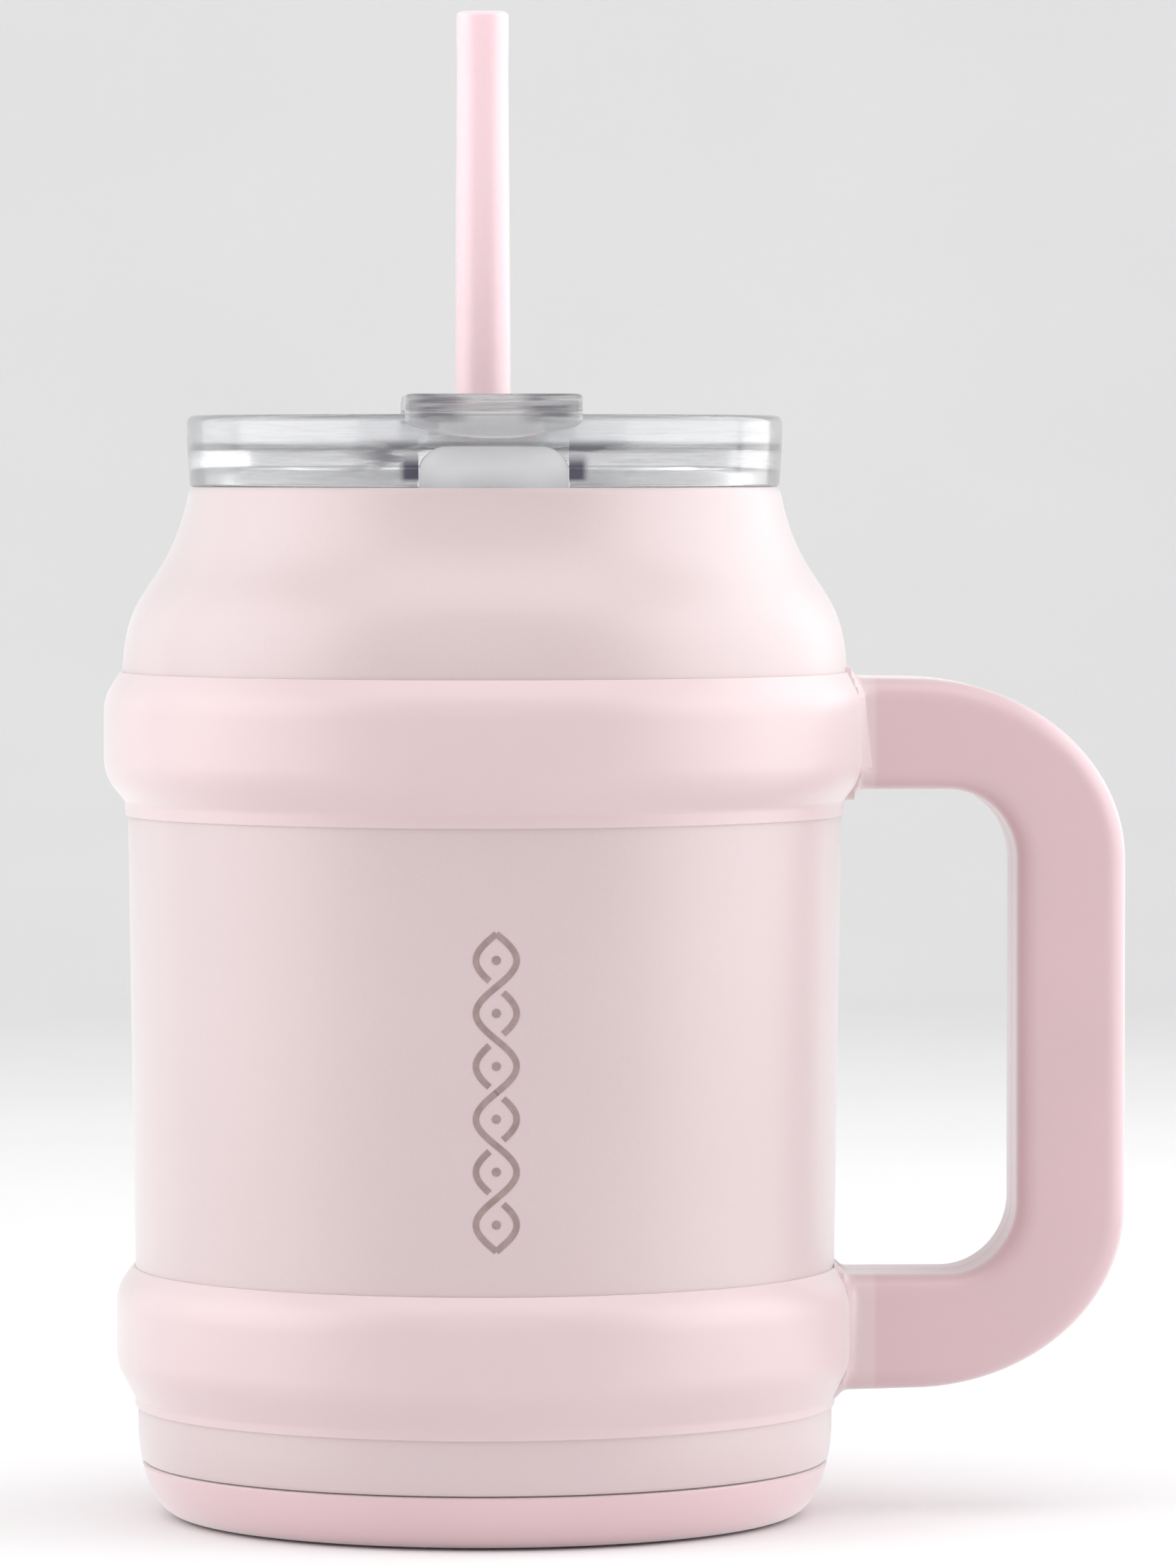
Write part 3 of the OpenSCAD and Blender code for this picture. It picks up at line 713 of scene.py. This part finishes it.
def handle_half(name, side, *nodes):
    """One moulded half; side is -1 for the front half and 1 for the back one."""
    seam = 0.3                      # width by the parting line that the blend leaves flat
    off_body = 0.3                  # between the body and the arms' ends, inside the bands
    bm = bmesh.new()
    rings = []
    stations = handle_stations()
    for outer, inner in stations:
        mid, reach = (outer + inner) / 2, outer - inner
        thick, out = reach.length, reach.normalized()
        corners = UPPER_BAND if mid.y > MID_Z else LOWER_BAND
        ring = []
        for across, up in half_section(thick):
            flat = Vector((mid.x + out.x * up, side * across, mid.y + out.y * up))
            gap = arm_gap(flat, corners)
            grow = BLEND - math.sqrt(max(0.0, BLEND ** 2 - max(0.0, BLEND - max(0.0, gap)) ** 2))
            if grow > 0 and across > seam:
                push = Vector((0, side * (across / HALF_W) ** 6, 0))
                push += Vector((out.x, 0, out.y)) * (2 * up / thick) ** 5
                flat += push * grow
            if outer in (stations[0][0], stations[-1][0]):
                flat.x = math.sqrt((side_r(flat.z) + off_body) ** 2 - flat.y ** 2)
            ring.append(flat)
        rings.append(ring)
    add_loft(bm, rings)
    place(finish_mesh(name, bm, CRISP), "mug", "handle_plastic", look["handle"], *nodes)


handle_half("handle_front_shell", -1, "handle_front_half")
handle_half("handle_back_shell", 1, "handle_back_half")


# ---------------------------------------------------------------- mark on the front

PRINT_LIFT, PRINT_DEPTH = 0.06, 0.3     # above the coat and below it


def on_shell(x, z, lift):
    """A point on the front of the body, x millimetres round from the middle."""
    r = side_r(z) + lift
    a = x / side_r(z)
    return (r * math.sin(a), -r * math.cos(a), z)


def ribbon(bm, path, width):
    """A printed line along (x, z) points on the body, with its underside inside the shell."""
    rings = []
    for i, p in enumerate(path):
        ahead = path[min(i + 1, len(path) - 1)] - path[max(i - 1, 0)]
        side = Vector((-ahead.y, ahead.x)).normalized() * width / 2
        a, b = p + side, p - side
        rings.append([on_shell(a.x, a.y, -PRINT_DEPTH), on_shell(a.x, a.y, PRINT_LIFT),
                      on_shell(b.x, b.y, PRINT_LIFT), on_shell(b.x, b.y, -PRINT_DEPTH)])
    add_loft(bm, rings)


def braid_mark():
    """A plain ornament: two strands that pass over and under, with a dot in each loop."""
    low, high, reach, loops, stroke, dot_r = 49.5, 101.0, 3.3, 6, 1.05, 0.75
    pitch = (high - low) / loops
    gap = 0.11                          # share of a loop left open where a strand passes under
    bm = bmesh.new()
    steps = 22
    for loop in range(loops):
        for strand in (-1, 1):
            sign = strand * (1 if loop % 2 else -1)
            over = strand > 0
            start = 0.0 if over or loop == 0 else gap
            stop = 1.0 if over or loop == loops - 1 else 1.0 - gap
            path = []
            for i in range(steps + 1):
                t = start + (stop - start) * i / steps
                swing = sign * reach * math.sin(math.pi * t)
                path.append(Vector((swing, low + pitch * (loop + t))))
            ribbon(bm, path, stroke)
        dot = ring_points(dot_r, 20, (0, low + pitch * (loop + 0.5)))
        add_loft(bm, [[on_shell(x, z, lift) for x, z in dot] for lift in (-PRINT_DEPTH, PRINT_LIFT)])
    return finish_mesh("front_mark", bm)


place(braid_mark(), "mug", "pearl_coat", look["print"])


# ---------------------------------------------------------------- straw

def straw_outline():
    """Tube that narrows above the lid and has a soft bead at the mouth end."""
    bottom_r = (straw_high.x - straw_low.x) / 2
    wall, mouth_r = 1.0, 4.36
    taper_z, slim_z, top, low = 196.0, 243.0, straw_high.z, straw_low.z
    bead_r, bead_z = mouth_r + 0.06, top - 4.5
    return rounded([(bottom_r - wall, low, 0.45), (bottom_r, low, 0.45), (bottom_r, taper_z, 60),
                    (mouth_r, slim_z, 30), (bead_r, bead_z, 6), (bead_r, top, 0.9),
                    (mouth_r - wall, top, 0.08), (mouth_r - wall, slim_z, 30),
                    (bottom_r - wall, taper_z, 60)])


straw_y = (straw_low.y + straw_high.y) / 2
place(lathe("drinking_straw", straw_outline(), (0, straw_y), 96), "straw", "straw_plastic",
      look["straw"], "straw")


# ---------------------------------------------------------------- lid and sip tab

LID_R = lid_high.y
LID_TOP = RIM_Z + 12.0
DECK_TOP, DECK_LOW = RIM_Z + 6.3, RIM_Z + 3.8
SKIRT_R, SKIRT_IN, SKIRT_LOW = 44.3, 42.3, lid_low.z
GROOVE_LOW, GROOVE_TOP = SKIRT_LOW + 4.5, SKIRT_LOW + 9.5
NOTCH_W, NOTCH_UP, NOTCH_R = 24.4, 6.7, 47.9    # arched recess in the rim's front
HINGE_Y, HINGE_Z = (pin_low.y + pin_high.y) / 2, (pin_low.z + pin_high.z) / 2
PIN_R = (pin_high.z - pin_low.z) / 2
KNUCKLE_R, KNUCKLE_HALF = 3.0, 10.0
SIP_Y = (plug_low.y + plug_high.y) / 2
SIP_W, SIP_D = 18.0, 7.0                        # the sip opening's size
COLLAR_R = 7.0                                  # neck of the straw's collar
TAB_HALF, TAB_R, TAB_T = tab_high.x, -tab_low.y, 3.0


def lid_outline():
    """Rim, sunken deck and skirt, with the skirt's groove for the gasket."""
    foot, wall, seat = LID_R - 0.5, LID_R - 2.8, RIM_Z + 0.04
    return rounded([
        (SKIRT_IN, SKIRT_LOW, 0.6), (SKIRT_R, SKIRT_LOW, 0.8), (SKIRT_R, GROOVE_LOW),
        (SKIRT_R - 1, GROOVE_LOW), (SKIRT_R - 1, GROOVE_TOP), (SKIRT_R, GROOVE_TOP),
        (SKIRT_R, seat), (foot, seat, 0.6), (LID_R, RIM_Z + 7.3, 30), (LID_R, LID_TOP, 1.2),
        (wall, LID_TOP, 0.9), (wall, DECK_TOP, 1.4), (0, DECK_TOP), (0, DECK_LOW),
        (SKIRT_IN, DECK_LOW, 1.2)])


def prism(outline, start, end):
    """A solid between two copies of a closed outline; start and end turn (u, v) into a point."""
    bm = bmesh.new()
    add_loft(bm, [[start(u, v) for u, v in outline], [end(u, v) for u, v in outline]])
    return finish_mesh("tool", bm)


def across(outline, x0, x1):
    """A prism along X from an outline in (y, z)."""
    return prism(outline, lambda y, z: (x0, y, z), lambda y, z: (x1, y, z))


def upright(outline, z0, z1):
    """A prism along Z from an outline in (x, y)."""
    return prism(outline, lambda x, y: (x, y, z0), lambda x, y: (x, y, z1))


def slot_points(grow=0.0):
    """The sip opening's round-ended slot, in (x, y), made larger all round by grow."""
    half, r, steps = SIP_W / 2 + grow, SIP_D / 2 + grow, 24
    ends = []
    for side, start in ((1, -math.pi / 2), (-1, math.pi / 2)):
        turns = (start + math.pi * i / steps for i in range(steps + 1))
        ends += [(side * (half - r) + r * math.cos(a), SIP_Y + r * math.sin(a)) for a in turns]
    return ends


def combine(piece, operation, *tools):
    """Joins or cuts a piece with other solids, which are used up."""
    for tool in tools:
        step = piece.modifiers.new("step", "BOOLEAN")
        step.operation, step.object, step.solver = operation, tool, "EXACT"
    graph = bpy.context.evaluated_depsgraph_get()
    mesh = bpy.data.meshes.new_from_object(piece.evaluated_get(graph))
    piece.modifiers.clear()
    piece.data = mesh
    for tool in tools:
        bpy.data.objects.remove(tool)
    mesh.polygons.foreach_set("use_smooth", [True] * len(mesh.polygons))
    mesh.set_sharp_from_angle(angle=math.radians(CRISP))
    return piece


def lid_shell():
    """The clear lid: a turned body with the hinge's two ears, its openings and the front recess."""
    ear_gap, ear_t, ear_bend, arch_bend, vent_r, vent_y = 0.4, 4.0, 2.9, 4.5, 1.0, 32.0
    body = lathe("lid_shell", lid_outline())
    ears = []
    for side in (-1, 1):
        near, far = side * (KNUCKLE_HALF + ear_gap), side * (KNUCKLE_HALF + ear_gap + ear_t)
        ear = rounded([(HINGE_Y - KNUCKLE_R, DECK_TOP - 1), (HINGE_Y + KNUCKLE_R, DECK_TOP - 1),
                       (HINGE_Y + KNUCKLE_R, HINGE_Z + KNUCKLE_R, ear_bend),
                       (HINGE_Y - KNUCKLE_R, HINGE_Z + KNUCKLE_R, ear_bend)])
        ears.append(across(ear, near, far))
    combine(body, "UNION", *ears)
    arch = rounded([(-NOTCH_W / 2, RIM_Z - 1), (NOTCH_W / 2, RIM_Z - 1),
                    (NOTCH_W / 2, RIM_Z + NOTCH_UP, arch_bend), (-NOTCH_W / 2, RIM_Z + NOTCH_UP, arch_bend)])
    notch = prism(arch, lambda x, z: (x, -math.sqrt(NOTCH_R ** 2 - x * x), z),
                  lambda x, z: (x, -LID_R - 5, z))
    low, high = DECK_LOW - 2, DECK_TOP + 2      # well through the deck
    sip = upright(slot_points(), low, high)
    straw_hole = upright(ring_points(COLLAR_R + SNUG, 96, (0, straw_y)), low, high)
    vent = upright(ring_points(vent_r, 32, (0, vent_y)), low, high)
    bore = across(ring_points(PIN_R + 0.02, 48, (HINGE_Y, HINGE_Z)), -20, 20)
    return combine(body, "DIFFERENCE", notch, sip, straw_hole, vent, bore)


def tab_ring(x, inset):
    """Side outline of the sip tab at a distance from its middle, drawn in near its sides."""
    lip_t, lip_deep, lip_rise, back = 1.5, 7.3, 2.4, 19.0
    outer, inner = (math.sqrt(r * r - x * x) for r in (TAB_R, TAB_R - lip_t))
    top, under = tab_high.z, tab_high.z - TAB_T
    low = top - lip_deep + lip_rise * (x / TAB_HALF) ** 2
    outline = rounded([(back + inset, under + inset), (inner + inset, under + inset, 0.3),
                       (inner + inset, low + inset, 0.45 - 0.6 * inset),
                       (outer - inset, low + inset, 0.6 - 0.8 * inset),
                       (outer - inset, top - inset, 1.5 - inset), (back + inset, top - inset)])
    return [(x, -y, z) for y, z in outline]


def sip_tab():
    """Flip-up tab: a plate with rounded sides and a lip over the rim, on its hinge knuckle."""
    side_round, draw_in, steps, flat_steps = 1.4, 0.5, 6, 16
    flat = TAB_HALF - side_round
    left = [(-flat - side_round * math.cos(a), draw_in * (1 - math.sin(a)))
            for a in (math.pi / 2 * i / steps for i in range(steps + 1))]
    middle = [(-flat + 2 * flat * i / flat_steps, 0.0) for i in range(1, flat_steps)]
    stations = left + middle + [(-x, inset) for x, inset in reversed(left)]
    bm = bmesh.new()
    add_loft(bm, [tab_ring(x, inset) for x, inset in stations])
    tab = finish_mesh("flip_tab", bm, CRISP)
    arm_front, arm_low, arm_top = -20, tab_high.z - TAB_T - 1, HINGE_Z + KNUCKLE_R * 0.9
    arm = across([(arm_front, arm_top), (arm_front, arm_low), (HINGE_Y, arm_low),
                  (HINGE_Y, arm_top)], -KNUCKLE_HALF, KNUCKLE_HALF)
    knuckle = across(ring_points(KNUCKLE_R, 64, (HINGE_Y, HINGE_Z)), -KNUCKLE_HALF, KNUCKLE_HALF)
    combine(tab, "UNION", arm, knuckle)
    bore = across(ring_points(PIN_R + SNUG, 48, (HINGE_Y, HINGE_Z)), -15, 15)
    return combine(tab, "DIFFERENCE", bore)


def stopper():
    """Soft stopper under the tab: neck, flange and a tapered nose in the opening."""
    low, top = plug_low.z, plug_high.z
    flange = low + 2.0
    levels = [(low, -1.5), (low + 0.4, -1.1), (flange, -0.9),       # height, and growth there
              (flange + 0.05, 1.0), (flange + 0.4, 1.4), (flange + 1.3, 1.4), (flange + 1.7, 1.1),
              (flange + 1.8, -0.7), (top, -0.9)]
    bm = bmesh.new()
    add_loft(bm, [[(x, y, z) for x, y in slot_points(grow)] for z, grow in levels])
    return finish_mesh("sip_stopper", bm, 50)


def gasket_outline():
    """Ring with two wiping lips."""
    back, root, wipe, low = SKIRT_R - 0.95, SKIRT_R + 0.5, gasket_high.y, gasket_low.z
    return rounded([(back, low), (root, low, 0.2), (wipe, low + 0.9, 0.15), (wipe, low + 1.4, 0.15),
                    (root, low + 1.9, 0.3), (root, low + 2.9, 0.3), (wipe, low + 3.8, 0.15),
                    (wipe, low + 4.3, 0.15), (root, gasket_high.z, 0.2), (back, gasket_high.z)])


def grommet_outline():
    """Collar that seals the straw: a lip on the deck, a neck through it and a barb below."""
    hole, barb, lip = 5.05, 8.2, grommet_high.x
    low, top, under, over = grommet_low.z, grommet_high.z, DECK_LOW - SNUG, DECK_TOP + SNUG
    return rounded([(hole, low, 0.3), (COLLAR_R, low, 0.3), (barb, under, 0.2), (COLLAR_R, under),
                    (COLLAR_R, over), (lip, over, 0.2), (lip, top, 0.9), (hole, top, 0.5)])


place(lid_shell(), "lid", "clear_plastic", look["lid"], "lid_body")
place(sip_tab(), "sip_tab", "clear_plastic", look["tab"], "sip_flap")
place(stopper(), "sip_tab", "clear_silicone", look["silicone"], "sip_plug")
place(lathe("wiper_gasket", gasket_outline()), "lid", "clear_silicone", look["silicone"],
      "lid_gasket")
place(lathe("straw_collar", grommet_outline(), (0, straw_y), 96), "lid", "clear_silicone",
      look["silicone"], "straw_grommet")


# ---------------------------------------------------------------- carried-over CAD parts

def repaint(node, material):
    """A better material for a CAD part whose shape is right."""
    for place_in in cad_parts[node].material_slots:
        place_in.material = material


repaint("reflective_foil", look["foil"])
repaint("outer_base_cap", look["steel"])
repaint("vacuum_getter", look["getter"])
repaint("vacuum_seal_bead", look["bead"])
repaint("handle_pins", look["pin"])
repaint("hinge_pin", look["clear"])
repaint("inner_floor", look["steel"])


# ---------------------------------------------------------------- studio

def sweep_floor():
    """Floor and backdrop as one sheet with a wide curve between them."""
    bm = bmesh.new()
    reach, back, front, bend, high = 9000.0, 2200.0, -9000.0, 900.0, 3500.0
    steps = 24
    line = [(front, 0.0), (back - bend, 0.0)]
    line += [(back - bend + bend * math.sin(a), bend - bend * math.cos(a))
             for a in (math.pi / 2 * i / steps for i in range(1, steps + 1))]
    line.append((back, high))
    rows = [[bm.verts.new((x, y, z)) for x in (-reach, reach)] for y, z in line]
    for one, two in zip(rows, rows[1:]):
        bm.faces.new((one[0], one[1], two[1], two[0]))
    floor = finish_mesh("studio_sweep", bm, 60)
    floor.data.flip_normals()       # the open sheet's front faces the object
    floor.data.materials.append(look["paper"])


def soft_light(name, at, aim, size, power):
    """A rectangular light at a place, turned towards another; its power is in watts."""
    data = bpy.data.lights.new(name, "AREA")
    data.shape, data.size, data.size_y = "RECTANGLE", size[0] * MM, size[1] * MM
    data.energy = power
    lamp = bpy.data.objects.new(name, data)
    bpy.context.scene.collection.objects.link(lamp)
    lamp.location = mm(*at)
    lamp.rotation_euler = (mm(*aim) - lamp.location).to_track_quat("-Z", "Y").to_euler()


def studio():
    """Floor, lights and a white sky; colours stay as they are, without a film curve."""
    sweep_floor()
    middle = (0, 0, 110)            # of the mug
    soft_light("left_softbox", (-1100, -190, 380), middle, (1300, 1500), 9.8)
    soft_light("right_softbox", (1100, -150, 380), middle, (1300, 1500), 11.0)
    soft_light("top_softbox", (0, -350, 1300), middle, (1400, 1000), 5.4)
    soft_light("front_fill", (-200, -2200, 900), middle, (1400, 900), 3.4)
    soft_light("left_rim", (-850, 650, 350), middle, (500, 1400), 1.6)
    soft_light("right_rim", (850, 650, 350), middle, (500, 1400), 3.6)
    soft_light("backdrop_light", (0, 900, 1700), (0, 2200, 300), (2600, 500), 2.6)
    world = bpy.data.worlds.new("studio_world")
    bpy.context.scene.world = world
    world.use_nodes = True
    sky = world.node_tree.nodes["Background"]
    sky.inputs["Color"].default_value = (1.0, 1.0, 1.0, 1.0)
    sky.inputs["Strength"].default_value = 0.60
    bpy.context.scene.view_settings.view_transform = "Standard"


def camera():
    """A long lens, a little left of the front and above the middle."""
    data = bpy.data.cameras.new("camera")
    data.sensor_width = 36.0
    data.lens = 195.0
    data.clip_end = 50.0
    eye = bpy.data.objects.new("camera", data)
    bpy.context.scene.collection.objects.link(eye)
    eye.location = mm(-44.4, -1429, 176)
    aim = mm(17.4, 0, 123)
    eye.rotation_euler = (aim - eye.location).to_track_quat("-Z", "Y").to_euler()
    bpy.context.scene.camera = eye


studio()
camera()
